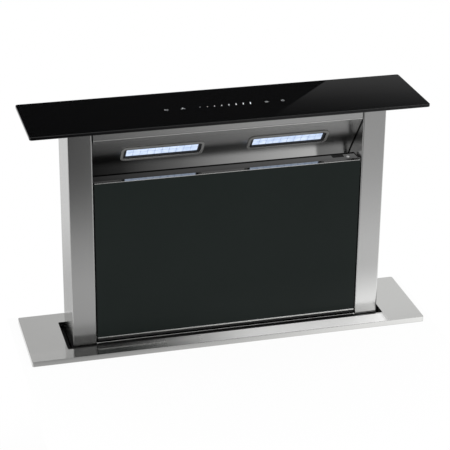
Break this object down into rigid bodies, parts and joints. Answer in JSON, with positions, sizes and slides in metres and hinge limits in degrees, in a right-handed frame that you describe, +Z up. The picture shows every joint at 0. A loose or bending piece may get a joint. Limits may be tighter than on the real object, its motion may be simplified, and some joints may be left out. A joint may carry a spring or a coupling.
{
  "type": "downdraft vent",
  "caption": "Pop-up downdraft extractor for a 60 cm worktop: a motor-lifted steel tower with glass cap, two lamps, filters and blower.",
  "frame": {"origin": "middle of the chassis base, on the cabinet floor", "axes": "+Z up, -Y towards the cook, X along the worktop; drawn with the tower raised"},
  "size_m": [0.62, 0.2897, 1.0235],
  "materials": {
    "brushed_stainless": "satin, fine horizontal grain",
    "black_cap_glass": "polished, opaque black",
    "dark_panel_glass": "dark tinted, back-painted",
    "galvanised_sheet": "galvanised, semi-matt",
    "aluminium": "satin",
    "black_plastic": "fine moulded texture",
    "white_nylon": "natural nylon",
    "black_rubber": "matt",
    "lamp_diffuser": "frosted, lit",
    "ground_steel": "ground bar"
  },
  "bodies": {
    "chassis": {"worktop_flange": "brushed_stainless", "flange_gasket": "black_rubber", "chassis_front": "galvanised_sheet", "chassis_back": "galvanised_sheet", "chassis_left": "galvanised_sheet", "chassis_right": "galvanised_sheet", "chassis_base": "galvanised_sheet", "seal_frame": "galvanised_sheet", "throat_seal": "black_rubber", "left_foot": "galvanised_sheet", "right_foot": "galvanised_sheet", "left_worktop_clamp": "galvanised_sheet", "right_worktop_clamp": "galvanised_sheet", "left_guide_rail": "aluminium", "right_guide_rail": "aluminium", "left_rack": "white_nylon", "right_rack": "white_nylon", "scroll_housing": "black_plastic", "inlet_plate": "galvanised_sheet", "blower_motor": "aluminium", "outlet_adapter": "black_plastic", "outlet_collar": "black_plastic", "control_box": "galvanised_sheet", "control_box_lid": "galvanised_sheet", "supply_gland": "black_plastic"},
    "tower": {"glass_cap": "black_cap_glass", "cap_carrier": "galvanised_sheet", "touch_control": "black_plastic", "left_post": "brushed_stainless", "right_post": "brushed_stainless", "tower_back": "brushed_stainless", "lamp_reflector": "brushed_stainless", "left_lamp_bezel": "brushed_stainless", "right_lamp_bezel": "brushed_stainless", "left_lamp_body": "black_plastic", "right_lamp_body": "black_plastic", "left_lamp_lens": "lamp_diffuser", "right_lamp_lens": "lamp_diffuser", "front_skirt": "brushed_stainless", "filter_channel": "galvanised_sheet", "left_grease_filter": "aluminium", "right_grease_filter": "aluminium", "carriage": "galvanised_sheet", "left_slide_shoe": "white_nylon", "right_slide_shoe": "white_nylon", "left_bearing": "black_plastic", "right_bearing": "black_plastic", "lift_motor": "black_plastic"},
    "front_panel": {"front_glass": "dark_panel_glass", "panel_carrier": "brushed_stainless"},
    "drive_shaft": {"drive_shaft": "ground_steel", "left_pinion": "white_nylon", "right_pinion": "white_nylon", "shaft_gear": "white_nylon"},
    "motor_pinion": {"motor_pinion": "white_nylon"},
    "impeller": {"blower_impeller": "black_plastic"},
    "front_flap": {"front_flap": "black_plastic"},
    "rear_flap": {"rear_flap": "black_plastic"}
  },
  "joints": [
    {"name": "tower_lift", "type": "slide", "parent": "chassis", "child": "tower", "axis": [0, 0, 1], "range_m": [-0.348, 0]},
    {"name": "front_panel_tilt", "type": "hinge", "parent": "tower", "child": "front_panel", "pos_m": [0, -0.034, 0.6775], "axis": [1, 0, 0], "range_deg": [0, 30]},
    {"name": "drive_shaft_turn", "type": "hinge", "parent": "tower", "child": "drive_shaft", "pos_m": [0, 0.02408, 0.5335], "axis": [1, 0, 0], "range_deg": [0, 998]},
    {"name": "motor_pinion_turn", "type": "hinge", "parent": "tower", "child": "motor_pinion", "pos_m": [0.12, -0.00742, 0.5335], "axis": [1, 0, 0], "range_deg": [-1331, 0]},
    {"name": "impeller_spin", "type": "hinge", "parent": "chassis", "child": "impeller", "pos_m": [-0.042, -0.0959, 0.188], "axis": [0, 1, 0], "continuous": true},
    {"name": "front_flap_swing", "type": "hinge", "parent": "chassis", "child": "front_flap", "pos_m": [0.18064, -0.1273, 0.09112], "axis": [0, 0, 1], "range_deg": [0, 75], "stiffness_Nm_per_rad": 0.02, "springref_deg": -5.73},
    {"name": "rear_flap_swing", "type": "hinge", "parent": "chassis", "child": "rear_flap", "pos_m": [0.18064, -0.1273, 0.09112], "axis": [0, 0, 1], "range_deg": [-75, 0], "stiffness_Nm_per_rad": 0.02, "springref_deg": 5.73}
  ],
  "couplings": [
    {"joint": "drive_shaft_turn", "follows": "tower_lift", "rad_per_m": -50},
    {"joint": "motor_pinion_turn", "follows": "tower_lift", "rad_per_m": 66.667}
  ]
}
